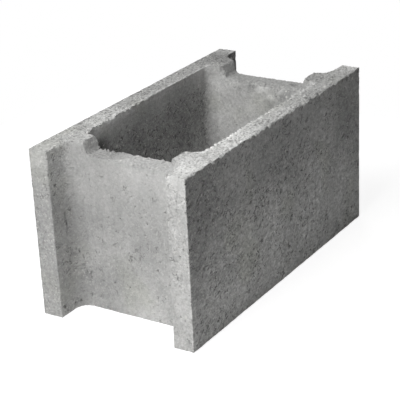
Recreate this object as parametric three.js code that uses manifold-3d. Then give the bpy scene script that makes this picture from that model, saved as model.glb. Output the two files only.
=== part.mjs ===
// A hollow concrete formwork block, the kind laid dry and filled with bars and wet concrete.
// Two face shells are joined by two webs round one open cell. The webs stand back from the
// ends of the shells, and a notch in their tops carries the bars from block to block.
//
// Sizes are in millimetres. The origin is the middle of the bottom bed, +X runs along the
// block and +Z is up.

import * as THREE from 'three';
import { mergeVertices } from 'three/addons/utils/BufferGeometryUtils.js';
import Module from 'manifold-3d';

// Overall size.
const LENGTH = 400;
const WIDTH = 200;
const HEIGHT = 200;

// The mould's cores are drawn upwards, so each wall is thinnest at the top bed.
const SHELL_TOP = 24;
const SHELL_BOTTOM = 25.5;
const WEB_TOP = 25;
const WEB_BOTTOM = 31;

// From the ends of the shells to the outer face of the web.
const RECESS_TOP = 41;
const RECESS_BOTTOM = 40;

// Upright corners: where web meets shell outside and inside the cell, and the shells' own edges.
const RECESS_FILLET_TOP = 21;
const RECESS_FILLET_BOTTOM = 15;
const CELL_FILLET = 15;
const EDGE_RADIUS = 1.5;

// The bar notch, a flat-floored groove that crosses both webs.
const NOTCH_DEPTH = 15.5;
const NOTCH_TOP_WIDTH = 116;
const NOTCH_FLOOR_WIDTH = 106;
const NOTCH_FILLET = 6;

// Each arc gets twice this many facets.
const ARC_DIVISIONS = 5;
// How far a cutter runs on past the bed that it opens.
const OVERSHOOT = 5;

const concrete = new THREE.MeshStandardMaterial({
  name: 'concrete',
  color: 0x9c9b95,
  roughness: 0.95,
  metalness: 0,
});

const wasm = await Module();
wasm.setup();

// A closed outline with each corner rounded to its own radius, as points in order.
function roundedOutline(corners) {
  const path = new THREE.Path();
  corners.forEach(([x, y, radius], i) => {
    const before = corners.at(i - 1);
    const after = corners[(i + 1) % corners.length];
    const arriving = new THREE.Vector2(x - before[0], y - before[1]).normalize();
    const leaving = new THREE.Vector2(after[0] - x, after[1] - y).normalize();
    const turn = Math.atan2(arriving.cross(leaving), arriving.dot(leaving));
    const reach = radius * Math.tan(Math.abs(turn) / 2);
    const towardsCentre = new THREE.Vector2(-arriving.y, arriving.x).multiplyScalar(Math.sign(turn));
    const centre = new THREE.Vector2(x, y)
      .addScaledVector(arriving, -reach)
      .addScaledVector(towardsCentre, radius);
    const start = towardsCentre.negate().angle();
    path.absarc(centre.x, centre.y, radius, start, start + turn, turn < 0);
  });
  return path.getPoints(ARC_DIVISIONS);
}

// The same outline at another height, on the straight draft from the bottom bed to the top bed.
function drafted(bottomOutline, topOutline, z) {
  return bottomOutline.map((point, i) => point.clone().lerp(topOutline[i], z / HEIGHT));
}

// A closed solid between two heights of a drafted outline, which runs anticlockwise.
function loft(bottomOutline, topOutline, fromZ, toZ) {
  const lower = drafted(bottomOutline, topOutline, fromZ);
  const upper = drafted(bottomOutline, topOutline, toZ);
  const count = lower.length;
  const positions = [
    ...lower.flatMap(({ x, y }) => [x, y, fromZ]),
    ...upper.flatMap(({ x, y }) => [x, y, toZ]),
  ];
  const index = [];
  THREE.ShapeUtils.triangulateShape(lower, []).forEach(([a, b, c]) => index.push(c, b, a));
  THREE.ShapeUtils.triangulateShape(upper, []).forEach(([a, b, c]) => {
    index.push(a + count, b + count, c + count);
  });
  for (let i = 0; i < count; i += 1) {
    const next = (i + 1) % count;
    index.push(i, next, next + count);
    index.push(i, next + count, i + count);
  }
  const geometry = new THREE.BufferGeometry();
  geometry.setAttribute('position', new THREE.Float32BufferAttribute(positions, 3));
  geometry.setIndex(index);
  return geometry;
}

// The block seen from above without its cell: an H whose legs are the face shells.
function blockOutline(shell, recess, recessFillet) {
  const end = LENGTH / 2;
  const side = WIDTH / 2;
  const webFace = end - recess;
  const shellFace = side - shell;
  return roundedOutline([
    [-end, -side, EDGE_RADIUS],
    [end, -side, EDGE_RADIUS],
    [end, -shellFace, EDGE_RADIUS],
    [webFace, -shellFace, recessFillet],
    [webFace, shellFace, recessFillet],
    [end, shellFace, EDGE_RADIUS],
    [end, side, EDGE_RADIUS],
    [-end, side, EDGE_RADIUS],
    [-end, shellFace, EDGE_RADIUS],
    [-webFace, shellFace, recessFillet],
    [-webFace, -shellFace, recessFillet],
    [-end, -shellFace, EDGE_RADIUS],
  ]);
}

function cellOutline(shell, recess, web) {
  const halfLength = LENGTH / 2 - recess - web;
  const halfWidth = WIDTH / 2 - shell;
  return roundedOutline([
    [-halfLength, -halfWidth, CELL_FILLET],
    [halfLength, -halfWidth, CELL_FILLET],
    [halfLength, halfWidth, CELL_FILLET],
    [-halfLength, halfWidth, CELL_FILLET],
  ]);
}

function blockBody() {
  return loft(
    blockOutline(SHELL_BOTTOM, RECESS_BOTTOM, RECESS_FILLET_BOTTOM),
    blockOutline(SHELL_TOP, RECESS_TOP, RECESS_FILLET_TOP),
    0,
    HEIGHT,
  );
}

function cellCore() {
  return loft(
    cellOutline(SHELL_BOTTOM, RECESS_BOTTOM, WEB_BOTTOM),
    cellOutline(SHELL_TOP, RECESS_TOP, WEB_TOP),
    -OVERSHOOT,
    HEIGHT + OVERSHOOT,
  );
}

// The groove's profile is drawn across the block and runs from one end to the other.
function notchGroove() {
  const floor = HEIGHT - NOTCH_DEPTH;
  const halfFloor = NOTCH_FLOOR_WIDTH / 2;
  const flankSlope = (NOTCH_TOP_WIDTH - NOTCH_FLOOR_WIDTH) / 2 / NOTCH_DEPTH;
  const mouth = HEIGHT + OVERSHOOT;
  const halfMouth = halfFloor + flankSlope * (mouth - floor);
  const profile = new THREE.Shape(roundedOutline([
    [-halfFloor, floor, NOTCH_FILLET],
    [halfFloor, floor, NOTCH_FILLET],
    [halfMouth, mouth, 0],
    [-halfMouth, mouth, 0],
  ]));
  const across = new THREE.Vector3(0, 1, 0);
  const up = new THREE.Vector3(0, 0, 1);
  const along = new THREE.Vector3(1, 0, 0);
  return new THREE.ExtrudeGeometry(profile, { depth: LENGTH, bevelEnabled: false })
    .applyMatrix4(new THREE.Matrix4().makeBasis(across, up, along))
    .translate(-LENGTH / 2, 0, 0);
}

function solidOf(geometry) {
  geometry.deleteAttribute('normal');
  geometry.deleteAttribute('uv');
  const merged = mergeVertices(geometry);
  return new wasm.Manifold(new wasm.Mesh({
    numProp: 3,
    vertProperties: merged.attributes.position.array,
    triVerts: Uint32Array.from(merged.index.array),
  }));
}

function geometryOf(solid) {
  const { vertProperties, triVerts } = solid.getMesh();
  const geometry = new THREE.BufferGeometry();
  geometry.setAttribute('position', new THREE.BufferAttribute(vertProperties, 3));
  geometry.setIndex(new THREE.BufferAttribute(triVerts, 1));
  geometry.computeVertexNormals();
  return geometry;
}

const castSolid = solidOf(blockBody())
  .subtract(solidOf(cellCore()))
  .subtract(solidOf(notchGroove()));

const block = new THREE.Mesh(geometryOf(castSolid), concrete);
block.name = 'concrete_block';

const part = new THREE.Group();
part.add(block);

export default part;
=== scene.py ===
"""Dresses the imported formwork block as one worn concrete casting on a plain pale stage."""

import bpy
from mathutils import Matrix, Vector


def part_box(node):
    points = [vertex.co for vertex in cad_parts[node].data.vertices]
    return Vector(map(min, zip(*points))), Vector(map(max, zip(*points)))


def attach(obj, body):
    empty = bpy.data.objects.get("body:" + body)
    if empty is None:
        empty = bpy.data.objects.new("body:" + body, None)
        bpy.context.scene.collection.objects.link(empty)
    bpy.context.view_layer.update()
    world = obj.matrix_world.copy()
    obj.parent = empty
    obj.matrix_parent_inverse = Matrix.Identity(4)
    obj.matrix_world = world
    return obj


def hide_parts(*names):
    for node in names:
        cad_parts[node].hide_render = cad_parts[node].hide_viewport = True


bl_info = {
    "name": "Formwork Block Looks",
    "version": (1, 0, 0),
    "blender": (4, 5, 0),
    "location": "View3D > Sidebar > Formwork Block",
    "description": "Casts a worn concrete formwork block over its packed solid and sets its stage",
    "category": "Object",
}

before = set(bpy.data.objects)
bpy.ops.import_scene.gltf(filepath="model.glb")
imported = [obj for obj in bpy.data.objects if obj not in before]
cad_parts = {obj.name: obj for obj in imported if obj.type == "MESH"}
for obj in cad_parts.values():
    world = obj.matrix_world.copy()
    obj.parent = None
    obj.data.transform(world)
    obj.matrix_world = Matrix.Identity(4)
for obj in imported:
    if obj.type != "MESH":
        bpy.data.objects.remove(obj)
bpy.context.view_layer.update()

import math
import random

import bmesh
import bpy
from bpy.props import FloatProperty, FloatVectorProperty, IntProperty, PointerProperty
from mathutils import Matrix, Vector, kdtree, noise

MM = 0.001
CAST_NODE = "concrete_block"
BODY = "root"

block_low, block_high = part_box(CAST_NODE)
END = block_high.x
SIDE = block_high.y
TOP = block_high.z
BOTTOM = block_low.z

# Roughly where a web's outer face, its face to the cell and a shell's inner face stand near the
# top bed, and the height of the notch floor.
WEB_FACE_X = END - 40.5 * MM
CELL_END_X = WEB_FACE_X - 26.5 * MM
SHELL_FACE_Y = SIDE - 24 * MM
NOTCH_FLOOR_Z = TOP - 15.5 * MM

# Directions: towards the near end, towards the shaded side, and up.
NEAR, RIGHT, UP = Vector((-1, 0, 0)), Vector((0, -1, 0)), Vector((0, 0, 1))

# How much of a normal is upright: at least this on a level face and on the flat of a bed, and
# at most this on a moulded wall. A point this near to an outer face or a bed lies on it.
LEVEL, FLAT, WALL = 0.7, 0.9, 0.5
FACE_BAND = 2 * MM

# Points this close together are one, and so are faces that meet at less than this angle. The
# small radii of the shells' corners lie this near to the block's ends.
MERGE_DISTANCE = 0.001 * MM
FLAT_ANGLE = math.radians(0.6)
CORNER_REACH = 1.6 * MM

# Each axis, the ends of the cuts across it, and how much of a cut face's normal may lie along it.
CUTS = ((0, -END, END, 0.05), (1, -SIDE, SIDE, 0.05), (2, BOTTOM, TOP, 0.5))
# The seams and slivers that are taken out after the cuts.
SEAM_ANGLE = math.radians(0.2)
SEAM_SLANT = 0.02
SLIVER_WIDTH = 0.16 * MM

# The squares are halved near an arris, and again where it crumbles and on the loosest part of
# the bed. Sides this short stay whole.
ARRIS_ZONE = 3.6 * MM
CRUMB_ZONE = 2.6 * MM
LOOSEST_BED = (-120 * MM, 45 * MM)
SHORT_SIDE = 1.1 * MM

# An edge that turns outwards by more than this is an arris, and is sampled at this spacing.
ARRIS_ANGLE = math.radians(40)
ARRIS_SAMPLE = 0.6 * MM
# Samples whose normals agree by this much are of one arris.
SAME_WAY = 0.8
# How far from an arris the wear and the burrs go at most.
WEAR_LIMIT = 5.0 * MM
BURR_REACH = 2.4 * MM
# Edges that turn by less than this are shaded smooth.
CRISP_ANGLE = math.radians(38)

# The far notch's lip over the cell, and how far in front of it and behind it the wear goes.
LIP_X = CELL_END_X + 1 * MM
LIP_ZONE = (-3 * MM, 16 * MM)
# How much further out the far web stands in the upper left corner of its recess.
RECESS_FILL = 6 * MM

# Large pores keep this far from an arris, at the corners of squares at least this wide, and a
# pit moves this far at most to such a corner.
PORE_MARGIN = 5 * MM
PORE_ROOM = 2.4 * MM
PIT_REACH = 3 * MM
# The width and the height of a pore's sloping wall, as parts of its radius and its depth.
PORE_SLOPE = 0.3
PORE_WALL = 0.65

# What each point of the casting tells its concrete, and the faces whose grain is loose.
# The tone layer holds painted light and shade as well as the concrete's own tone.
LAYERS = ("broken", "coarse", "tone", "pitted", "loose", "hollow")
LOOSE_FACES = {"bed", "notch"}


class BlockShapeSettings(bpy.types.PropertyGroup):
    mesh_step: FloatProperty(
        name="Mesh step",
        description="Side of the squares on the faces; arrises and beds have finer ones",
        default=3.6 * MM, min=2 * MM, max=12 * MM, precision=4, unit="LENGTH", subtype="DISTANCE",
    )
    arris_radius: FloatProperty(
        name="Arris radius", description="Small rounding that the mould leaves on every arris",
        default=0.6 * MM, min=0.1 * MM, max=2 * MM, precision=4, unit="LENGTH", subtype="DISTANCE",
    )
    arris_crumble: FloatProperty(
        name="Arris crumble", description="Loss along an arris where grains have broken out",
        default=3.6 * MM, min=0, max=6 * MM, precision=4, unit="LENGTH", subtype="DISTANCE",
    )
    burr: FloatProperty(
        name="Burr",
        description="How far crumbs stand out over a hollow along the arris of the bed",
        default=1.8 * MM, min=0, max=3 * MM, precision=4, unit="LENGTH", subtype="DISTANCE",
    )
    lip_wear: FloatProperty(
        name="Lip wear", description="How far the cell side of the far notch is worn round",
        default=12 * MM, min=0, max=14 * MM, precision=4, unit="LENGTH", subtype="DISTANCE",
    )
    face_relief: FloatProperty(
        name="Face relief", description="Height of the grain on the sandiest moulded faces",
        default=0.45 * MM, min=0, max=2 * MM, precision=5, unit="LENGTH", subtype="DISTANCE",
    )
    bed_relief: FloatProperty(
        name="Bed relief", description="Height of the loose sandy grain on the top bed",
        default=1.2 * MM, min=0, max=3 * MM, precision=4, unit="LENGTH", subtype="DISTANCE",
    )
    pore_depth: FloatProperty(
        name="Pore depth", description="Depth of the larger air holes",
        default=1.5 * MM, min=0, max=5 * MM, precision=4, unit="LENGTH", subtype="DISTANCE",
    )
    pore_count: IntProperty(
        name="Pore count",
        description="How many larger air holes are scattered over the moulded faces",
        default=420, min=0, max=900,
    )
    seed: IntProperty(
        name="Seed", description="Changes where the scattered pores fall",
        default=11, min=0, max=9999,
    )


class ConcreteSettings(bpy.types.PropertyGroup):
    cement: FloatVectorProperty(
        name="Cement", description="Overall colour of the dry concrete",
        subtype="COLOR", size=3, min=0, max=1, default=(0.465, 0.464, 0.456),
    )
    damp_cement: FloatVectorProperty(
        name="Darker cement", description="Colour of the broad darker patches",
        subtype="COLOR", size=3, min=0, max=1, default=(0.40, 0.40, 0.394),
    )
    sand: FloatVectorProperty(
        name="Pale sand", description="Colour of the pale sand grains",
        subtype="COLOR", size=3, min=0, max=1, default=(0.64, 0.635, 0.61),
    )
    # Dark grit also paints the shade inside the pores and pits.
    grit_and_pore_shade: FloatVectorProperty(
        name="Dark grit", description="Colour of the dark grains and of the pores' insides",
        subtype="COLOR", size=3, min=0, max=1, default=(0.13, 0.128, 0.122),
    )
    stain: FloatVectorProperty(
        name="Stain", description="Olive tint of the faint yard stains",
        subtype="COLOR", size=3, min=0, max=1, default=(0.385, 0.39, 0.355),
    )


class StageSettings(bpy.types.PropertyGroup):
    floor_colour: FloatVectorProperty(
        name="Floor", description="Colour of the floor that lights the block from below",
        subtype="COLOR", size=3, min=0, max=1, default=(0.85, 0.85, 0.85),
    )
    floor_size: FloatProperty(
        name="Floor size", description="Width of the square floor",
        default=1.1, min=0.6, max=100, unit="LENGTH", subtype="DISTANCE",
    )
    key_level: FloatProperty(
        name="Key lamp",
        description="Light on a surface that faces the large soft lamp in front of the block",
        default=1.31, min=0, max=5,
    )
    key_size: FloatProperty(
        name="Key lamp size", description="Side of the square soft lamp",
        default=0.5, min=0.05, max=5, unit="LENGTH", subtype="DISTANCE",
    )
    left_level: FloatProperty(
        name="Left light", description="Light on a surface that faces the low light from the left",
        default=0.39, min=0, max=5,
    )
    right_level: FloatProperty(
        name="Right light",
        description="Light on a surface that faces the dim light from the right",
        default=0.083, min=0, max=5,
    )
    back_level: FloatProperty(
        name="Back lamp", description="Light on a surface that faces the dim lamp behind the block",
        default=0.35, min=0, max=5,
    )
    sky_level: FloatProperty(
        name="Room light", description="Strength of the even light from all round",
        default=0.005, min=0, max=2,
    )


# --- the casting's mesh ---


def smooth_step(value, low, high):
    """0 up to low, 1 from high on, and a smooth rise between them; high may be the lower one."""
    share = min(1.0, max(0.0, (value - low) / (high - low)))
    return share * share * (3 - 2 * share)


def fade(length, low, high):
    """smooth_step for a length in metres, between two limits in millimetres."""
    return smooth_step(length, low * MM, high * MM)


def fractal(point, size, octaves, shift):
    """Smooth noise from about -1 to 1 whose broadest lumps are this many millimetres wide."""
    return noise.fractal(point / (size * MM) + Vector((shift, shift, shift)), 0.9, 2.0, octaves)


def nearness(point, place, reach, core):
    """1 in the core of the reach round a place, and 0 beyond it. All but the point is in mm."""
    return fade((point - Vector(place) * MM).length, reach, reach * core)


def tree_of(points):
    """A tree that finds the points nearest to a place."""
    tree = kdtree.KDTree(len(points))
    for i, point in enumerate(points):
        tree.insert(point, i)
    tree.balance()
    return tree


def add_object(scene, name, data):
    """A new object in the scene that holds this data."""
    holder = bpy.data.objects.new(name, data)
    scene.collection.objects.link(holder)
    return holder


def add_mesh(scene, name, made, material):
    """A new object in the scene made of a finished bmesh."""
    mesh = bpy.data.meshes.new(name)
    made.to_mesh(mesh)
    made.free()
    mesh.materials.append(material)
    return add_object(scene, name, mesh)


def merged_copy(node):
    """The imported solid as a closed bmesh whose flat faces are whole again."""
    casting = bmesh.new()
    casting.from_mesh(node.data)
    bmesh.ops.remove_doubles(casting, verts=casting.verts, dist=MERGE_DISTANCE)
    bmesh.ops.dissolve_limit(
        casting, angle_limit=FLAT_ANGLE, verts=casting.verts, edges=casting.edges,
    )
    square_up_corners(casting)
    casting.normal_update()
    return casting


def square_up_corners(casting):
    """Turns the small radius at each end of a shell back into one line, for the wear to round."""
    corners = {}
    for vert in casting.verts:
        x, y, z = vert.co
        if abs(x) > END - CORNER_REACH:
            outer = abs(y) > (SIDE + SHELL_FACE_Y) / 2
            corners.setdefault((x > 0, y > 0, outer, z > TOP / 2), []).append(vert)
    for (_, _, outer, _), arc in corners.items():
        pick = max if outer else min
        corner = Vector((
            max((vert.co.x for vert in arc), key=abs),
            pick((vert.co.y for vert in arc), key=abs),
            arc[0].co.z,
        ))
        bmesh.ops.pointmerge(casting, verts=arc, merge_co=corner)


def stations(low, high, step):
    """Even cutting positions between two ends, without the ends."""
    count = max(1, round((high - low) / step))
    return [low + (high - low) * i / count for i in range(1, count)]


def cut_across(casting, faces, axis, cuts):
    """Cuts the faces at every station, taking the middle one first to keep each cut small."""
    if not faces or not cuts:
        return
    middle = len(cuts) // 2
    plane_point, plane_normal = Vector(), Vector()
    plane_point[axis] = cuts[middle]
    plane_normal[axis] = 1
    edges = {edge for face in faces for edge in face.edges}
    verts = {vert for face in faces for vert in face.verts}
    result = bmesh.ops.bisect_plane(
        casting, geom=[*verts, *edges, *faces], dist=MERGE_DISTANCE,
        plane_co=plane_point, plane_no=plane_normal,
    )
    below, above = [], []
    for part in result["geom"]:
        if isinstance(part, bmesh.types.BMFace):
            side = below if part.calc_center_median()[axis] < cuts[middle] else above
            side.append(part)
    cut_across(casting, below, axis, cuts[:middle])
    cut_across(casting, above, axis, cuts[middle + 1:])


def crosses_the_grid(edge):
    """True for a seam inside a flat face that no cut has made."""
    if edge.calc_face_angle(1) > SEAM_ANGLE:
        return False
    normal = edge.link_faces[0].normal
    run = (edge.verts[1].co - edge.verts[0].co).normalized()
    facing = max(range(3), key=lambda axis: abs(normal[axis]))
    return min(abs(run[axis]) for axis in range(3) if axis != facing) > SEAM_SLANT


def heal_seams(casting):
    """Dissolves the slanting seams of the flat faces, which the grid of cuts has made needless."""
    casting.normal_update()
    seams = [edge for edge in casting.edges if crosses_the_grid(edge)]
    bmesh.ops.dissolve_edges(casting, edges=seams, use_verts=True)


def arris_edges(casting):
    """The edges that stick out and so wear."""
    return [edge for edge in casting.edges if edge.calc_face_angle_signed(0) > ARRIS_ANGLE]


def arris_lines(casting):
    """Points along every arris, each with the normals of the two faces that meet there."""
    points = []
    for edge in arris_edges(casting):
        start, finish = (vert.co for vert in edge.verts)
        first, second = (face.normal.copy() for face in edge.link_faces)
        count = max(1, math.ceil(edge.calc_length() / ARRIS_SAMPLE))
        for i in range(count + 1):
            points.append((start.lerp(finish, i / count), first, second))
    return points


def halve_faces(casting, wanted):
    """Cuts each wanted face in two both ways, but leaves its short sides whole."""
    edges = {
        edge for face in casting.faces if wanted(face)
        for edge in face.edges if edge.calc_length() > SHORT_SIDE
    }
    bmesh.ops.subdivide_edges(casting, edges=list(edges), cuts=1, use_grid_fill=True)


class Chip:
    """A bite out of the casting: a ball that is pushed straight in, with a rough surface."""

    def __init__(self, place, outward, depth, width, rough, grain):
        self.outward = Vector(outward).normalized()
        self.radius = (width * width / 4 + depth * depth) / (2 * depth) * MM
        self.centre = Vector(place) * MM + self.outward * (self.radius - depth * MM)
        self.rough = rough * MM
        self.grain = grain

    def bite(self, point):
        """Where a point of the surface ends up, or None outside the ball."""
        away = point - self.centre
        if away.length > self.radius + self.rough:
            return None
        reach = self.radius + self.rough * fractal(point, self.grain, 3, 4.7)
        height = away.dot(self.outward)
        across = away.length_squared - height * height
        if across >= reach * reach:
            return None
        sink = height + math.sqrt(reach * reach - across)
        return point - self.outward * sink if sink > 0 else None


# Millimetres: place on the arris or face, way out, depth, width, roughness and its grain.
CHIPS = [Chip(*row) for row in (
    # The upright corner between the far notch's left flank and the cell.
    ((133, 54, 193), (-1, -0.35, 0.15), 5.5, 20, 0.5, 3),
    # Scoops in the worn slope of the far notch's lip.
    ((135, 14, 181), (-1, 0.3, 0.7), 3.4, 15, 0.8, 5),
    ((134, -9, 168), (-1, 0.1, 0.2), 2.2, 12, 0.7, 5),
    ((136, -38, 183), (-1, 0, 1), 3.2, 13, 0.8, 4),
    # Teeth in the lip between the near notch and the cell.
    ((-133.6, 49, 186), (1, 0, 1), 3.6, 6, 0.4, 2),
    ((-133.6, 43.5, 184.5), (1, 0, 1), 2.6, 4.5, 0.4, 2),
    ((-133.6, 38, 184.5), (1, 0, 1), 3.6, 6, 0.4, 2),
    ((-133.6, 31, 184.5), (1, 0, 1), 2.2, 5, 0.4, 2),
    ((-133.6, 8, 184.5), (1, 0, 1), 1.4, 9, 0.4, 3),
    ((-133.6, -20, 184.5), (1, 0, 1), 1.2, 8, 0.4, 3),
    # The broken shoulder between the near notch's left flank and the cell.
    ((-129.6, 71.6, 200), (0.7, -0.7, 1), 3.0, 16, 0.5, 3),
    ((-133.5, 60, 199), (1, -0.2, 0.8), 3.2, 8, 0.4, 3),
    # The same shoulder's edge over the recess, worn to a slope.
    ((-160.5, 63, 200), (-1, -0.4, 1), 2.2, 16, 0.3, 3),
    # Specks out of the left shell's bed, by its outer arris.
    ((-113, 95, 200), (0, 0.3, 1), 1.5, 4, 0.3, 2),
    ((-51, 97, 200), (0, 0.3, 1), 1.3, 4, 0.3, 2),
    # The corner of the far notch's right flank, over the cell.
    ((134, -58, 200), (-1, 1, 1), 2.6, 15, 0.4, 4),
    # Bites along the outer top arris of the shaded side.
    ((-184, -100, 200), (0, -1, 0.8), 2.4, 10, 0.5, 3),
    ((-146, -100, 200), (0, -1, 0.8), 2.2, 9, 0.5, 3),
    ((35, -100, 200), (0, -1, 1), 1.4, 5, 0.4, 2),
    ((57, -100, 200), (0, -1, 1), 1.5, 4, 0.4, 2),
    ((76, -100, 200), (0, -1, 1), 1.6, 4, 0.4, 2),
    ((93, -100, 199), (0, -1, 0.4), 2.6, 6, 0.4, 2),
    ((124, -100, 200), (0, -1, 1), 1.4, 5, 0.4, 2),
)]

# Millimetres: crumbs that stand up from the lip between the near notch and the cell, with
# their reach and their height.
CRUMBS = [
    ((-135.5, 49.5, 184.5), 2.6, 2.7), ((-135, 45.5, 184.5), 2.4, 1.9),
    ((-135.5, 41, 184.5), 2.6, 2.5), ((-135, 34.5, 184.5), 2.6, 1.6),
    ((-136, 22, 184.5), 4.0, 1.1), ((-136, 2, 184.5), 4.0, 1.0),
    ((-135.5, -12, 184.5), 3.0, 0.8), ((-136, -30, 184.5), 4.0, 1.0),
]


def crumbs_on(point):
    """How far the crumbs of the near notch's lip stand up at this place."""
    if abs(point.z - NOTCH_FLOOR_Z) > MM:
        return 0.0
    height = 0.0
    for place, reach, rise in CRUMBS:
        height = max(height, rise * MM * nearness(point, place, reach, 0.2))
    return height


# Millimetres: places of the air holes that are large enough to pick out, with radius and depth.
PITS = [
    ((-174.9, 74.9, 66.4), 1.5, 2.0), ((-164.5, 69.9, 68.0), 1.6, 2.2),
    ((-162.1, 66.7, 61.5), 1.5, 2.2), ((-161.2, 65.0, 42.7), 1.3, 1.8),
    ((-160.1, 61.3, 15.2), 1.7, 2.4), ((-166.2, 71.6, 8.0), 1.6, 2.2),
    ((-172.4, 74.3, 6.4), 1.5, 2.0), ((-192.1, 74.6, 11.6), 1.5, 2.4),
    ((-186.3, 75.7, 161.2), 1.6, 2.2), ((-188.0, 75.7, 157.0), 1.4, 2.0),
    ((-178.1, 75.4, 118.9), 1.3, 1.8), ((-176.3, 75.2, 107.4), 1.5, 2.2),
    ((-48.8, -100, 94.3), 1.6, 2.4), ((113.2, -100, 94.3), 1.6, 2.4),
    ((-69.9, -100, 80.8), 1.6, 2.4), ((-79.9, -100, 63.0), 1.5, 2.2),
    ((-174.6, -100, 116.0), 1.5, 2.2), ((-52.0, -100, 90.0), 1.5, 2.2),
    ((-159.6, -31.6, 64.4), 1.5, 2.2), ((-159.9, -39.5, 33.4), 1.2, 1.6),
    ((-159.8, 5.6, 34.1), 1.2, 1.6), ((-159.7, 42.6, 35.7), 1.2, 1.6),
]


def face_at(point, normal):
    """Which of the block's faces a point lies on."""
    if normal.z > LEVEL:
        return "notch" if point.z < TOP - FACE_BAND else "bed"
    if normal.z < -LEVEL:
        return "underside"
    if abs(point.y) > SIDE - FACE_BAND:
        return "side"
    if abs(point.x) > END - FACE_BAND:
        return "end"
    if abs(point.x) > WEB_FACE_X - 3 * MM:
        return "recess"
    return "web" if abs(point.x) > CELL_END_X - 4 * MM else "cell"


def coarseness(face, point, normal):
    """How open the grain is at this place, from 0 for smooth paste to 1 for loose sand."""
    if face == "notch":
        return 0.5
    if face == "bed":
        loose = 0.35 * fade(point.x, -165, -115)
        return 0.65 + loose - 0.15 * fade(point.x, 40, 120)
    if face == "underside":
        return 0.8
    if face == "web":
        return 0.48
    clusters = smooth_step(fractal(point, 45, 3, 6.6), -0.45, 0.35)
    if face == "side":
        return 0.66 + 0.14 * fade(point.z, 175, 110) + 0.2 * clusters
    if face == "end":
        paste = 0.2 * fade(point.z, 90, 150) if point.y > 0 else 0.0
        return 0.4 + 0.25 * clusters - paste
    if face == "recess":
        smooth = 0.26 + 0.12 * fade(point.z, 130, 50) * (0.5 + clusters)
        return max(smooth, (0.4 + 0.3 * clusters) * smooth_step(abs(normal.y), 0.5, 0.9))
    low = fade(point.z, 184, 155)
    return 0.45 + (0.4 + 0.2 * clusters) * low * smooth_step(abs(normal.x), 0.7, 0.1)


def pitting(face, point, normal):
    """How much the pores and tears show at this place, from 0 to 1."""
    if face == "bed":
        return 0.3
    if face in {"notch", "underside"}:
        return 0.1
    clusters = smooth_step(fractal(point, 36, 2, 4.4), -0.25, 0.35)
    if face == "side":
        return 0.4 + 0.5 * clusters
    if face == "end":
        return 0.05 + 0.3 * clusters
    if face == "recess":
        low = fade(point.z, 150, 60)
        side_wall = smooth_step(abs(normal.y), 0.8, 0.95)
        return max(0.17 + 0.2 * low * clusters, 0.5 * clusters * side_wall)
    # The webs' faces to the cell, and its rounded corners.
    if face == "web" or abs(normal.x) > 0.3:
        return 0.2 * clusters
    return (0.65 + 0.35 * clusters) * fade(point.z, 190, 168)
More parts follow.
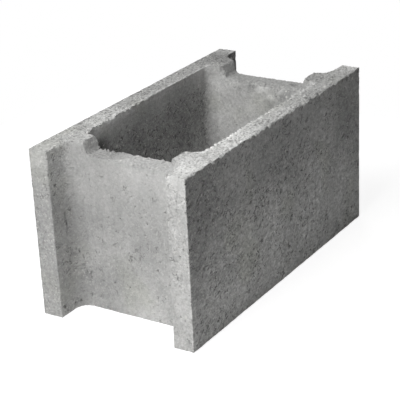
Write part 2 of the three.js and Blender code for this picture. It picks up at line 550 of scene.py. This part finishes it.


# Patches that are lighter or darker: some are the mix's own tone, and some are painted light and
# shade where the lamps fall short. Millimetres: place, the way the face looks, reach, and its
# brightness there. A face that is turned further away than the edge gets none.
PATCH_TURN_EDGE = 0.4
LIGHT_AND_TONE_PATCHES = [
    # The web and the ends of the shells at the near end.
    ((-160, -25, 180), NEAR, 45, 1.14),
    ((-160, -20, 105), NEAR, 60, 0.89),
    ((-160, -5, 12), NEAR, 45, 1.13),
    ((-200, -88, 200), NEAR, 38, 1.28),
    ((-200, -90, 85), NEAR, 80, 1.07),
    ((-200, 88, 197), NEAR, 30, 1.12),
    ((-200, 88, 40), NEAR, 70, 0.95),
    # The left wall of the near recess, and the rounded corner beside it.
    ((-182, 76, 178), RIGHT, 52, 1.30),
    ((-180, 76, 118), RIGHT, 40, 1.06),
    ((-180, 76, 35), RIGHT, 60, 1.06),
    ((-165, 71, 155), (-0.7, -0.7, 0), 45, 1.12),
    # The shaded long side has painted shade along its top and painted light, as of the floor's
    # bounce, along its foot.
    ((-185, -100, 160), RIGHT, 72, 0.73),
    ((-130, -100, 155), RIGHT, 55, 0.93),
    ((20, -100, 148), RIGHT, 50, 0.88),
    ((196, -100, 180), RIGHT, 95, 0.76),
    ((196, -100, 95), RIGHT, 45, 0.85),
    ((-196, -100, 80), RIGHT, 48, 0.87),
    ((0, -100, 10), RIGHT, 150, 1.13),
    ((-115, -100, 60), RIGHT, 88, 1.18),
    ((15, -100, 60), RIGHT, 80, 1.10),
    ((110, -100, 60), RIGHT, 95, 1.17),
    # The top beds.
    ((-160, -88, 200), UP, 48, 1.29),
    ((-60, -88, 200), UP, 34, 1.20),
    ((-88, -95, 200), UP, 46, 1.20),
    ((125, -88, 200), UP, 80, 0.86),
    ((196, -88, 200), UP, 26, 1.25),
    ((-66, 88, 200), UP, 34, 1.26),
    ((100, 95, 200), UP, 30, 0.90),
    ((198, 88, 200), UP, 28, 1.40),
    ((-100, 79, 200), UP, 20, 1.12),
    ((20, 88, 200), UP, 32, 0.90),
    ((166, 88, 200), UP, 42, 0.74),
    ((146, 0, 184.5), UP, 60, 0.89),
    ((-146, 36, 184.5), UP, 36, 0.72),
    # The far web, over the cell.
    ((134, 8, 163), NEAR, 32, 1.19),
    ((134, 56, 182), NEAR, 28, 1.20),
    ((140, 50, 184.5), UP, 16, 1.20),
    ((140, 54, 187), RIGHT, 6, 0.80),
    ((134, 40, 160), NEAR, 30, 0.93),
    ((134, -11, 170), NEAR, 8, 1.32),
    ((134, 1, 180), NEAR, 11, 1.17),
    ((134, 16, 181), NEAR, 12, 0.64),
    ((134, -10, 160), NEAR, 11, 0.78),
    ((134, -23, 184), (-0.7, 0, 0.7), 8, 1.28),
    ((134, -29, 172), NEAR, 8, 0.72),
    ((147, -36, 184.5), UP, 8, 0.72),
    ((134, 20, 148), NEAR, 9, 1.15),
    ((136, -35, 180), NEAR, 14, 0.78),
    ((136, -44, 186), NEAR, 8, 0.75),
    # The cell's left wall has painted light along its top, most at its near end, painted shade
    # lower down, and painted shadow darkest behind the lip.
    ((-92, 76, 197), RIGHT, 30, 1.32),
    ((-50, 76, 196), RIGHT, 40, 1.28),
    ((105, 76, 197), RIGHT, 26, 1.18),
    ((-102, 76, 169), RIGHT, 24, 0.42),
    ((-107, 76, 172), RIGHT, 13, 0.55),
    ((-30, 76, 150), RIGHT, 75, 0.88),
    ((70, 76, 150), RIGHT, 75, 0.85),
    ((131, 64, 150), (-0.9, -0.45, 0), 60, 1.22),
    # The far recess's wall, with painted shadow at its top, and the flanks of the notches.
    ((192, 76, 199), RIGHT, 30, 0.50),
    ((-146, 55, 192), RIGHT, 20, 0.73),
    ((-146, -66, 200), UP, 26, 0.96),
    ((133, -64, 197), (-0.5, 0.5, 0.7), 20, 0.65),
    # Painted light on the corner where the cell's left wall meets the near web.
    ((-124, 73, 190), (0.7, -0.7, 0), 30, 1.4),
]


def painted_light_and_tone_at(point, normal):
    """How light the concrete is at this place, round 1, painted light and shade included."""
    tone = 1.0
    if abs(point.x) < CELL_END_X and abs(point.y) < SHELL_FACE_Y + 4 * MM:
        # Painted light along the top of the cell's walls, under the edge of the bed.
        tone += 0.25 * smooth_step(point.z, TOP - 11 * MM, TOP - 3 * MM)
    for place, facing, reach, brightness in LIGHT_AND_TONE_PATCHES:
        turned = normal.dot(Vector(facing))
        if turned > PATCH_TURN_EDGE:
            share = nearness(point, place, reach, 0.25)
            tone *= 1 + (brightness - 1) * share * smooth_step(turned, PATCH_TURN_EDGE, 0.95)
    return tone


def bed_grain(point):
    """How deep the loose sandy grain of the beds goes here, from 0 to 1."""
    crumbs = fractal(point, 3.0, 2, 1.3)
    lumps = fractal(point, 11, 2, 7.1)
    gaps = smooth_step(fractal(point, 4.0, 2, 3.7), 0.1, 0.5)
    return min(1.0, max(0.0, 0.3 + 0.4 * crumbs + 0.12 * lumps + 0.55 * gaps))


def face_grain(point):
    """How deep the grain of the moulded faces goes here, drawn out along the mould's pull."""
    along_pull = Vector((point.x, point.y, point.z * 0.45))
    grain = fractal(along_pull, 6, 3, 2.9)
    wave = fractal(point, 70, 2, 5.3)
    return min(1.0, max(0.0, 0.4 + 0.5 * grain + 0.35 * wave))


# Where the arrises round the top are more ragged than the rest. Millimetres: place, reach, and
# how ragged it is there.
RAGGED = [
    # The cell's edge and the recess's edge on the left shell, at the near end.
    ((-95, 76, 200), 45, 1.5),
    ((-45, 76, 200), 50, 0.9),
    ((-184, 76, 200), 26, 0.55),
    # The near notch's lip over the cell: broken at the left, sounder at the right.
    ((-134, 44, 184.5), 16, 1.0),
    ((-134, -15, 184.5), 40, 0.5),
    # The outer arris of the shaded side.
    ((-150, -100, 200), 75, 1.0),
    ((-30, -100, 200), 75, 1.0),
    ((90, -100, 200), 75, 1.3),
    ((165, -100, 200), 30, 0.8),
]


def raggedness(place):
    """How much of the crumbling an arris shows at this place, least of it below the notches."""
    if place.z < NOTCH_FLOOR_Z - MM:
        return 0.15
    # The near notch is whole at its right end, over the recess.
    if place.x < -150 * MM and -62 * MM < place.y < -40 * MM:
        return 0.0
    # The left side's outer arris is sound, and so is the near web's bed up to its left shoulder.
    near_shoulder = place.x < -120 * MM and place.z > TOP - MM and abs(place.y) < 77 * MM
    if place.y > SIDE - MM or (near_shoulder and place.y < 62 * MM):
        return 0.12
    ragged = 0.3
    for centre, reach, amount in RAGGED:
        ragged += max(0.0, amount - ragged) * nearness(place, centre, reach, 0.6)
    return ragged


def crumble_at(place, settings):
    """How far grains have broken out of the arris at this place."""
    rub = 0.12 + 0.1 * fractal(place, 20, 2, 8.8)
    bites = smooth_step(fractal(place, 7, 2, 3.4), 0.0, 0.35)
    grains = smooth_step(fractal(place, 2.8, 2, 6.1), 0.0, 0.4)
    ragged = raggedness(place) * (0.6 * bites + 0.6 * grains)
    return min(WEAR_LIMIT, settings.arris_crumble * (max(0.0, rub) + ragged))


def worn_round(depth_first, depth_second, first, second, reach):
    """The shift that lays a point near an arris onto a rounded edge of this reach.

    The depths are the point's distances behind the two faces that meet at the arris.
    """
    if depth_first > depth_second:
        depth_first, depth_second, first, second = depth_second, depth_first, second, first
    if depth_second >= reach:
        return Vector()
    turn = (1 - depth_second / reach) * math.pi / 4
    along = reach * (math.sin(turn) - 1) + depth_second
    inwards = reach * (math.cos(turn) - 1)
    return first * inwards + second * along


def burr_at(place, facing, settings):
    """How far crumbs stand out from a hollow's wall at the arris of the bed above it."""
    inside = max(abs(place.x) - END, abs(place.y) - SIDE) < -FACE_BAND
    if not inside or abs(facing.z) > 0.1 or place.z < NOTCH_FLOOR_Z - MM:
        return 0.0
    crumbs = smooth_step(fractal(place, 3.2, 2, 5.9), 0.0, 0.4)
    return settings.burr * crumbs * min(1.3, raggedness(place))


def arris_loss(point, arrises, tree, settings):
    """The shift that breaks the arrises near a point back to a rough slope."""
    nearest = []
    for _, index, distance in tree.find_range(point, WEAR_LIMIT):
        place, first, second = arrises[index]
        for kept in nearest:
            if kept[1].dot(first) > SAME_WAY and kept[2].dot(second) > SAME_WAY:
                if distance < kept[3]:
                    kept[:] = [place, first, second, distance]
                break
        else:
            nearest.append([place, first, second, distance])
    loss = Vector()
    for place, first, second, distance in nearest:
        reach = crumble_at(place, settings)
        if distance < reach:
            loss -= (first + second) * (reach - distance) / 2
        if distance < BURR_REACH:
            for facing in (first, second):
                stand = burr_at(place, facing, settings)
                loss += facing * stand * smooth_step(distance, BURR_REACH, 0.4 * MM)
    return loss


def lip_loss(point, settings):
    """The shift that wears the far notch's lip over the cell round, with pebbles in its slope."""
    depths = (point.x - LIP_X, NOTCH_FLOOR_Z - point.z)
    if min(depths) < LIP_ZONE[0] or max(depths) > LIP_ZONE[1] or point.z > TOP - MM:
        return Vector()
    ends = fade(point.y, -57, -46) * fade(point.y, 54, 42)
    lumps = fractal(Vector((0, point.y, 0)), 17, 2, 2.2)
    reach = settings.lip_wear * ends * (0.8 + 0.35 * lumps)
    if reach < 0.2 * MM:
        return Vector()
    depths = tuple(max(0.0, depth) for depth in depths)
    loss = worn_round(*depths, NEAR, UP, reach)
    share = smooth_step(max(depths) / reach, 1.3, 0.5) * ends
    pebbles = max(0.0, 0.5 + fractal(point, 8, 3, 9.4)) * 1.6 * MM
    return loss - (NEAR + UP).normalized() * pebbles * share


def grain_depth(face, point, inside, coarse, settings):
    """How deep the grain goes at this place, where inside runs from 0 on an arris to 1."""
    if face in LOOSE_FACES:
        share = 1.0 if face == "bed" else 0.6
        return settings.bed_relief * bed_grain(point) * share * (0.45 + 0.55 * inside)
    share = (0.3 + 0.7 * coarse) * (0.2 + 0.8 * inside)
    return settings.face_relief * face_grain(point) * share


def weather(casting, arrises, tree, settings):
    """Wears the arrises, bites out the chips and roughens the faces, all within the block's box."""
    broken, coarse, tone, pitted, loose, _ = map(casting.verts.layers.float.new, LAYERS)
    casting.normal_update()
    places = []
    for vert in casting.verts:
        point, normal = vert.co, vert.normal
        face = face_at(point, normal)
        vert[coarse] = coarseness(face, point, normal)
        # Each point's tone, with painted light and shade in it.
        vert[tone] = painted_light_and_tone_at(point, normal)
        vert[pitted] = pitting(face, point, normal)
        vert[loose] = vert[coarse] if face in LOOSE_FACES else 0.0
        worn = arris_loss(point, arrises, tree, settings) + lip_loss(point, settings)
        moved = point + worn + UP * crumbs_on(point)
        for chip in CHIPS:
            moved = chip.bite(moved) or moved
        vert[broken] = fade((moved - point).length, 0.3, 2.5)
        inside = fade(tree.find(point)[2], 0.3, 3)
        moved -= normal * grain_depth(face, point, inside, vert[coarse], settings)
        places.append(Vector(map(min, map(max, moved, block_low), block_high)))
    for vert, place in zip(casting.verts, places):
        vert.co = place
    casting.normal_update()
    for edge in casting.edges:
        edge.smooth = edge.calc_face_angle(0) < CRISP_ANGLE


def pore_places(casting, tree):
    """The grid points on the moulded faces where a pore fits."""
    places = []
    for vert in casting.verts:
        if len(vert.link_faces) != 4 or any(len(face.verts) != 4 for face in vert.link_faces):
            continue
        if tree.find(vert.co)[2] < PORE_MARGIN or abs(vert.normal.z) > WALL:
            continue
        if min(edge.calc_length() for edge in vert.link_edges) >= PORE_ROOM:
            places.append(vert)
    return places


def sink_pores(casting, hollow, verts, radius, depth):
    """Opens a small rounded hole at each grid point, and marks it as hollow."""
    mouth = bmesh.ops.bevel(
        casting, geom=verts, offset=radius, offset_type="OFFSET", segments=2, profile=0.5,
        affect="VERTICES", clamp_overlap=True, material=-1,
    )["faces"]
    bmesh.ops.inset_region(
        casting, faces=mouth, thickness=radius * PORE_SLOPE, depth=-depth * PORE_WALL,
        use_even_offset=False,
    )
    mouth_faces = set(mouth)
    for vert in {vert for face in mouth for vert in face.verts}:
        vert[hollow] = 1.0
        if all(face in mouth_faces for face in vert.link_faces):
            vert.co -= vert.normal * depth * (1 - PORE_WALL)


# Share of the scattered pores, radius in millimetres, and depth as a part of the pore depth.
PORE_SIZES = ((0.5, 0.7, 0.8), (0.3, 1.0, 1.0), (0.2, 1.3, 1.3))


def open_pores(casting, tree, settings):
    """Opens the pits that have places of their own, then scatters the rest where pores show."""
    hollow = casting.verts.layers.float["hollow"]
    pitted = casting.verts.layers.float["pitted"]
    places = pore_places(casting, tree)
    grid = tree_of([vert.co for vert in places])
    casting.verts.ensure_lookup_table()
    every_point = tree_of([vert.co for vert in casting.verts])
    taken, groups = set(), {}

    def take(vert, size):
        around = {near for face in vert.link_faces for near in face.verts}
        if around & taken:
            return False
        taken.update(around)
        groups.setdefault(size, []).append(vert)
        return True

    for place, radius, depth in PITS:
        place = Vector(place) * MM
        for _, index, distance in grid.find_n(place, 4):
            if distance < PIT_REACH and take(places[index], (radius, depth)):
                break
        else:
            # No such corner is free near here, so the mesh's nearest point makes a dent.
            vert = casting.verts[every_point.find(place)[1]]
            vert[hollow] = 1.0
            vert.co -= vert.normal * depth * MM
    chance = random.Random(settings.seed)
    chance.shuffle(places)
    shares = [share for share, _, _ in PORE_SIZES]
    left = settings.pore_count
    for vert in places:
        if left and chance.random() < vert[pitted]:
            _, radius, depth = chance.choices(PORE_SIZES, shares)[0]
            left -= take(vert, (radius, depth * settings.pore_depth / MM))
    for (radius, depth), verts in groups.items():
        sink_pores(casting, hollow, verts, radius * MM, depth * MM)
    casting.normal_update()


def heavy_corner(point):
    """How much further out the far web stands in the upper left corner of its recess."""
    across = fade(point.y, 35, 66)
    along = fade(point.x, 136, 155) * fade(point.x, 198, 170)
    return RECESS_FILL * across * along * fade(point.z, 60, 180)


def halve_squares(casting, tree):
    """Halves the squares near the arrises and on the beds, and some of those once more."""

    def fine(face):
        centre = face.calc_center_median()
        if tree.find(centre)[2] < ARRIS_ZONE:
            return True
        return face.normal.z > FLAT and centre.z > NOTCH_FLOOR_Z - MM

    def finest(face):
        centre = face.calc_center_median()
        place, _, distance = tree.find(centre)
        if distance < CRUMB_ZONE and place.z > NOTCH_FLOOR_Z - MM:
            return True
        on_bed = face.normal.z > FLAT and centre.z > TOP - MM
        return on_bed and LOOSEST_BED[0] < centre.x < LOOSEST_BED[1]

    halve_faces(casting, fine)
    halve_faces(casting, finest)


def build_casting(settings):
    """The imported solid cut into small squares, with its arrises rounded, worn and pored."""
    casting = merged_copy(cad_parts[CAST_NODE])
    arrises = arris_lines(casting)
    tree = tree_of([place for place, _, _ in arrises])
    bmesh.ops.bevel(
        casting, geom=arris_edges(casting), offset=settings.arris_radius, offset_type="OFFSET",
        segments=2, profile=0.5, affect="EDGES", clamp_overlap=False, material=-1,
    )
    bmesh.ops.triangulate(casting, faces=casting.faces)
    for axis, low, high, lean in CUTS:
        faces = [face for face in casting.faces if abs(face.normal[axis]) < lean]
        cut_across(casting, faces, axis, stations(low, high, settings.mesh_step))
    heal_seams(casting)
    # Cuts that pass close to a corner leave slivers.
    slivers = [edge for edge in casting.edges if edge.calc_length() < SLIVER_WIDTH]
    bmesh.ops.collapse(casting, edges=slivers)
    halve_squares(casting, tree)
    # The places on the arrises move with the points, so that the wear still finds them.
    for vert in casting.verts:
        vert.co.x += heavy_corner(vert.co)
    for place, _, _ in arrises:
        place.x += heavy_corner(place)
    tree = tree_of([place for place, _, _ in arrises])
    weather(casting, arrises, tree, settings)
    open_pores(casting, tree, settings)
    for face in casting.faces:
        face.smooth = True
    return casting


# --- its concrete ---


class Finish:
    """The node tree of a material or a world, with short calls for adding and joining nodes."""

    def __init__(self, owner):
        owner.use_nodes = True
        self.tree = owner.node_tree
        self.tree.nodes.clear()

    def node(self, kind, inputs=None, **settings):
        """Adds a node. An input that is another node's socket is joined, and any other is set."""
        node = self.tree.nodes.new("ShaderNode" + kind)
        for name, value in settings.items():
            setattr(node, name, value)
        for name, value in (inputs or {}).items():
            socket = node.inputs[name]
            if isinstance(value, bpy.types.NodeSocket):
                self.tree.links.new(value, socket)
            else:
                socket.default_value = (*value, 1.0) if socket.type == "RGBA" else value
        return node

    def math(self, operation, first, second=0.0, third=0.0):
        node = self.node("Math", {0: first, 1: second, 2: third}, operation=operation)
        return node.outputs[0]

    def most(self, first, *others):
        """The largest of some numbers."""
        for other in others:
            first = self.math("MAXIMUM", first, other)
        return first

    def noise(self, vector, size, detail=2.0, roughness=0.5):
        """Noise from 0 to 1 with lumps about this big."""
        return self.node("TexNoise", {
            "Vector": vector, "Scale": 1 / size, "Detail": detail, "Roughness": roughness,
        }).outputs["Fac"]

    def ramp(self, value, low, high, to_low=0.0, to_high=1.0):
        """A smooth rise or fall between two numbers as the value goes from low to high."""
        return self.node("MapRange", {
            "Value": value, "From Min": low, "From Max": high, "To Min": to_low, "To Max": to_high,
        }, interpolation_type="SMOOTHSTEP").outputs["Result"]

    def by(self, share, low, high):
        """A number that goes from low to high as the share goes from 0 to 1."""
        return self.math("MULTIPLY_ADD", share, high - low, low)

    def drawn(self, vector, length, width, degrees):
        """Coordinates with units this long and wide in mm, level on the long sides at 0 degrees."""
        return self.node("Mapping", {
            "Vector": vector, "Rotation": (0, math.radians(-degrees), 0),
            "Scale": (length * MM, width * MM, width * MM),
        }, vector_type="TEXTURE").outputs[0]

    def pores(self, vector, share, largest):
        """Round hollows scattered one to a cell, 1 inside, in coordinates of one cell to a unit."""
        cells = self.node("TexVoronoi", {"Vector": vector, "Scale": 1.0})
        pick = self.node("SeparateColor", {"Color": cells.outputs["Color"]}).outputs[0]
        size = self.ramp(pick, 1 - share, 1.0, 0.0, largest)
        return self.ramp(self.math("SUBTRACT", cells.outputs["Distance"], size), 0.0, -0.06)

    def tears(self, vector):
        """Short winding lines, 1 on the line, in coordinates of one bend to a unit."""
        away = self.math("ABSOLUTE", self.math("SUBTRACT", self.noise(vector, 1.0, 1.0), 0.5))
        torn = self.ramp(self.noise(vector, 1.4, 0.0), 0.5, 0.62)
        return self.math("MULTIPLY", self.ramp(away, 0.035, 0.012), torn)

    def blend(self, factor, first, second):
        """The first colour where the factor is 0, and the second where it is 1."""
        # The node has other sockets of the same names, so these go by number.
        inputs = {0: factor, 6: first, 7: second}
        return self.node("Mix", inputs, data_type="RGBA").outputs[2]

    def shade(self, colour, brightness):
        """The colour made lighter or darker by a number near 1."""
        scaled = self.node("VectorMath", {0: colour, "Scale": brightness}, operation="SCALE")
        return scaled.outputs[0]

    def mottle(self, colour, pattern, spread):
        """The colour made lighter and darker by a pattern of numbers round one half."""
        away = self.math("SUBTRACT", pattern, 0.5)
        return self.shade(colour, self.math("MULTIPLY_ADD", away, spread, 1.0))

    def shown_or_lit(self, shown, lit):
        """One shader for rays that show the backdrop, and one for those that carry its light."""
        path = self.node("LightPath").outputs
        seen = self.most(*(path[f"Is {kind} Ray"] for kind in ("Camera", "Glossy", "Transmission")))
        shaders = {0: seen, 1: lit.outputs[0], 2: shown.outputs[0]}
        return self.node("MixShader", shaders).outputs[0]


def make_concrete(colours):
    material = bpy.data.materials.new("cast_concrete")
    mix = Finish(material)
    place = mix.node("TexCoord").outputs["Object"]
    broken, coarse, tone, pitted, loose, hollow = (
        mix.node("Attribute", attribute_name=name).outputs["Fac"] for name in LAYERS
    )

    # Broad patches of drier and damper cement, and a faint olive bloom.
    patch = mix.ramp(mix.noise(place, 85 * MM, 3.0), 0.42, 0.64)
    colour = mix.blend(patch, colours.cement, colours.damp_cement)
    bloom = mix.ramp(mix.noise(place, 60 * MM, 2.0, 0.4), 0.55, 0.75, 0.0, 0.5)
    colour = mix.blend(bloom, colour, colours.stain)

    # The colour is lighter towards the right long side and darker towards the left, and takes each
    # point's painted light and tone.
    across = mix.node("SeparateXYZ", {"Vector": place}).outputs["Y"]
    drift = mix.node("MapRange", {
        "Value": across, "From Min": -SIDE, "From Max": SIDE, "To Min": 1.1, "To Max": 0.9,
    }).outputs["Result"]
    colour = mix.shade(colour, mix.math("MULTIPLY", drift, tone))

    # Paste is drawn into upright streaks where the face is smooth.
    drag = mix.noise(mix.drawn(place, 150, 9, 90), 1.0)
    colour = mix.mottle(colour, drag, mix.by(coarse, 0.2, 0.04))

    # Mottling of the paste, in blots and then in crumbs, stronger where the grain is open.
    blots = mix.noise(mix.drawn(place, 14, 9, 0), 1.0)
    spread = mix.math("MULTIPLY_ADD", loose, -0.35, mix.by(coarse, 0.06, 0.58))
    colour = mix.mottle(colour, blots, spread)
    crumbs = mix.noise(mix.drawn(place, 5.6, 3.6, 0), 1.0, 3.0, 0.62)
    spread = mix.math("MULTIPLY_ADD", loose, -0.7, mix.by(coarse, 0.26, 1.3))
    colour = mix.mottle(colour, crumbs, spread)

    # The struck beds have a finer, looser grain with gaps between the crumbs.
    grain = mix.noise(place, 2.8 * MM, 2.0, 0.6)
    colour = mix.mottle(colour, grain, mix.by(loose, 0.0, 1.2))
    gap = mix.math("MULTIPLY", mix.ramp(grain, 0.42, 0.33), loose)

    # Its sand: a shade for each grain, and a few strong ones.
    grains = mix.node("TexVoronoi", {"Vector": place, "Scale": 1 / (1.6 * MM)})
    pick = mix.node("SeparateColor", {"Color": grains.outputs["Color"]}).outputs
    colour = mix.mottle(colour, pick[0], mix.by(coarse, 0.06, 0.28))
    pale = mix.ramp(pick[1], 0.92, 0.96, 0.0, mix.by(coarse, 0.0, 0.9))
    colour = mix.blend(pale, colour, colours.sand)
    dark = mix.ramp(pick[2], 0.95, 0.98, 0.0, mix.by(coarse, 0.05, 0.45))
    colour = mix.blend(dark, colour, colours.grit_and_pore_shade)

    # A few larger pale crumbs.
    fleck = mix.pores(mix.drawn(place, 9, 8, 0), 0.12, 0.3)
    colour = mix.blend(mix.math("MULTIPLY", fleck, 0.85), colour, colours.sand)

    # Fine pores: round ones, slits and winding tears where the mould dragged the face.
    marks = [mix.pores(mix.drawn(place, 6, 5, 0), 0.3, 0.26)]
    for length, width, degrees in ((11, 5, 42), (10, 4.5, 75), (9, 5, 10)):
        marks.append(mix.pores(mix.drawn(place, length, width, degrees), 0.25, 0.26))
    stroke = mix.noise(mix.drawn(place, 8, 2.6, 40), 1.0, 1.0)
    marks.append(mix.ramp(stroke, 0.34, 0.27))
    marks.append(mix.tears(mix.drawn(place, 6, 5, 20)))
    patchy = mix.math("MULTIPLY_ADD", pitted, 0.5, mix.noise(place, 12 * MM, 1.0))
    pore = mix.math("MULTIPLY", mix.most(*marks), mix.ramp(patchy, 0.62, 0.8))
    pore = mix.most(pore, gap, hollow)
    strength = mix.most(mix.by(pitted, 0.3, 0.9), mix.math("MULTIPLY", hollow, 0.85))
    # Painted shade darkens the pores, and the sunk pits get dust and painted shade; the gaps
    # between the bed's crumbs are darkened with them.
    colour = mix.blend(mix.math("MULTIPLY", pore, strength), colour, colours.grit_and_pore_shade)

    # Broken stone is paler.
    colour = mix.shade(colour, mix.math("MULTIPLY_ADD", broken, 0.06, 1.0))

    grit_height = mix.noise(place, 1.8 * MM, 3.0, 0.65)
    height = mix.math("MULTIPLY_ADD", crumbs, 1.5, grit_height)
    height = mix.math("MULTIPLY", height, mix.by(coarse, 0.2, 1.6))
    height = mix.math("SUBTRACT", height, mix.math("MULTIPLY", pore, 1.4))
    bump = mix.node("Bump", {"Height": height, "Strength": 0.9, "Distance": 0.9 * MM})

    roughness = mix.ramp(mix.noise(place, 9 * MM), 0.3, 0.7, 0.86, 0.97)
    surface = mix.node("BsdfPrincipled", {
        "Base Color": colour, "Roughness": roughness, "Normal": bump.outputs[0],
        "Specular IOR Level": 0.2, "Diffuse Roughness": 0.6,
    })
    mix.node("OutputMaterial", {"Surface": surface.outputs[0]})
    return material


class FORMWORK_OT_cast_block(bpy.types.Operator):
    """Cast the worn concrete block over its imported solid"""

    bl_idname = "formwork.cast_block"
    bl_label = "Cast block"

    def execute(self, context):
        scene = context.scene
        casting = build_casting(scene.block_shape)
        block = add_mesh(scene, "cast_block", casting, make_concrete(scene.block_concrete))
        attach(block, BODY)
        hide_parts(CAST_NODE)
        return {"FINISHED"}


# --- the stage ---

# Where the camera stands, its axes in the block's frame, its lens in millimetres, and how near
# and how far it sees.
CAMERA_PLACE = (-1.27058, -0.80980, 0.72127)
CAMERA_RIGHT = (0.52684819, -0.84877849, -0.04478904)
CAMERA_UP = (0.35405276, 0.17124895, 0.91941309)
CAMERA_BACK = (-0.77270798, -0.50024881, 0.39073457)
CAMERA_LENS = 124.33
CAMERA_RANGE = (0.05, 100)

# Where the lamps stand and what they point at.
KEY_PLACE = (-0.7592, 0.0, 0.9790)
KEY_TARGET = (-0.2, 0.0, 0.15)
LEFT_PLACE = (-1.585, 2.573, 0.5175)
RIGHT_PLACE = (-0.1, -2.971, 0.5175)
SIDE_TARGET = (-0.1, 0.0, 0.1)
SIDE_SPREAD = math.radians(24)
BACK_PLACE = (1.1, 0.8, 0.4)
BACK_SIZE = 0.8

# The floor as the camera sees it: a grey that still takes shadows, under an even glow.
PAPER = (0.3, 0.3, 0.3)
WHITE = (1, 1, 1)
PAPER_GLOW = 0.87


def make_floor_material(stage):
    material = bpy.data.materials.new("pale_floor")
    finish = Finish(material)
    lit = finish.node("BsdfDiffuse", {"Color": stage.floor_colour})
    paper = finish.node("BsdfDiffuse", {"Color": PAPER})
    glow = finish.node("Emission", {"Color": WHITE, "Strength": PAPER_GLOW})
    shown = finish.node("AddShader", {0: paper.outputs[0], 1: glow.outputs[0]})
    finish.node("OutputMaterial", {"Surface": finish.shown_or_lit(shown, lit)})
    return material


def lay_floor(scene, stage):
    grid = bmesh.new()
    bmesh.ops.create_grid(
        grid, x_segments=1, y_segments=1, size=stage.floor_size / 2,
        matrix=Matrix.Translation((0, 0, BOTTOM)),
    )
    ground = add_mesh(scene, "floor", grid, make_floor_material(stage))


def hang_lamp(scene, name, kind, place, target, level, **settings):
    """A lamp that lights a surface facing it to this level, where 1 shows a colour as written."""
    lamp = bpy.data.lights.new(name, kind)
    aim = Vector(target) - Vector(place)
    reach = aim.length
    lamp.energy = level * math.pi * (math.pi * reach * reach if kind == "AREA" else 1)
    for key, value in settings.items():
        setattr(lamp, key, value)
    turn = aim.to_track_quat("-Z", "Y").to_matrix().to_4x4()
    add_object(scene, name, lamp).matrix_world = Matrix.Translation(place) @ turn


def light_room(scene, stage):
    world = bpy.data.worlds.new("room")
    scene.world = world
    room = Finish(world)
    dim = room.node("Background", {"Color": WHITE, "Strength": stage.sky_level})
    white = room.node("Background", {"Color": WHITE, "Strength": 1.0})
    room.node("OutputWorld", {"Surface": room.shown_or_lit(white, dim)})


def stand_camera(scene):
    camera = bpy.data.cameras.new("camera")
    camera.lens = CAMERA_LENS
    camera.clip_start, camera.clip_end = CAMERA_RANGE
    turn = Matrix((CAMERA_RIGHT, CAMERA_UP, CAMERA_BACK)).transposed().to_4x4()
    scene.camera = add_object(scene, "camera", camera)
    scene.camera.matrix_world = Matrix.Translation(CAMERA_PLACE) @ turn


class FORMWORK_OT_set_stage(bpy.types.Operator):
    """Lay the floor, light the block softly and stand the camera"""

    bl_idname = "formwork.set_stage"
    bl_label = "Set stage"

    def execute(self, context):
        scene = context.scene
        stage = scene.block_stage
        scene.view_settings.view_transform = "Standard"
        lay_floor(scene, stage)
        light_room(scene, stage)
        for name, kind, place, target, level, settings in (
            ("key", "AREA", KEY_PLACE, KEY_TARGET, stage.key_level, {"size": stage.key_size}),
            ("left", "SUN", LEFT_PLACE, SIDE_TARGET, stage.left_level, {"angle": SIDE_SPREAD}),
            ("right", "SUN", RIGHT_PLACE, SIDE_TARGET, stage.right_level, {"angle": SIDE_SPREAD}),
            ("back", "AREA", BACK_PLACE, KEY_TARGET, stage.back_level, {"size": BACK_SIZE}),
        ):
            hang_lamp(scene, name, kind, place, target, level, **settings)
        stand_camera(scene)
        return {"FINISHED"}


class FORMWORK_PT_block(bpy.types.Panel):
    bl_idname = "FORMWORK_PT_block"
    bl_label = "Formwork Block"
    bl_space_type = "VIEW_3D"
    bl_region_type = "UI"
    bl_category = "Formwork Block"

    def draw(self, context):
        scene = context.scene
        for title, settings, operator in (
            ("Shape", scene.block_shape, FORMWORK_OT_cast_block),
            ("Concrete", scene.block_concrete, None),
            ("Stage", scene.block_stage, FORMWORK_OT_set_stage),
        ):
            box = self.layout.box()
            box.label(text=title)
            for name in settings.bl_rna.properties.keys():
                if name not in {"rna_type", "name"}:
                    box.prop(settings, name)
            if operator:
                box.operator(operator.bl_idname)


CLASSES = (
    BlockShapeSettings,
    ConcreteSettings,
    StageSettings,
    FORMWORK_OT_cast_block,
    FORMWORK_OT_set_stage,
    FORMWORK_PT_block,
)


def register():
    for cls in CLASSES:
        bpy.utils.register_class(cls)
    bpy.types.Scene.block_shape = PointerProperty(type=BlockShapeSettings)
    bpy.types.Scene.block_concrete = PointerProperty(type=ConcreteSettings)
    bpy.types.Scene.block_stage = PointerProperty(type=StageSettings)


def unregister():
    del bpy.types.Scene.block_stage
    del bpy.types.Scene.block_concrete
    del bpy.types.Scene.block_shape
    for cls in reversed(CLASSES):
        bpy.utils.unregister_class(cls)


def main():
    register()
    bpy.ops.formwork.cast_block()
    bpy.ops.formwork.set_stage()


if __name__ == "__main__":
    main()
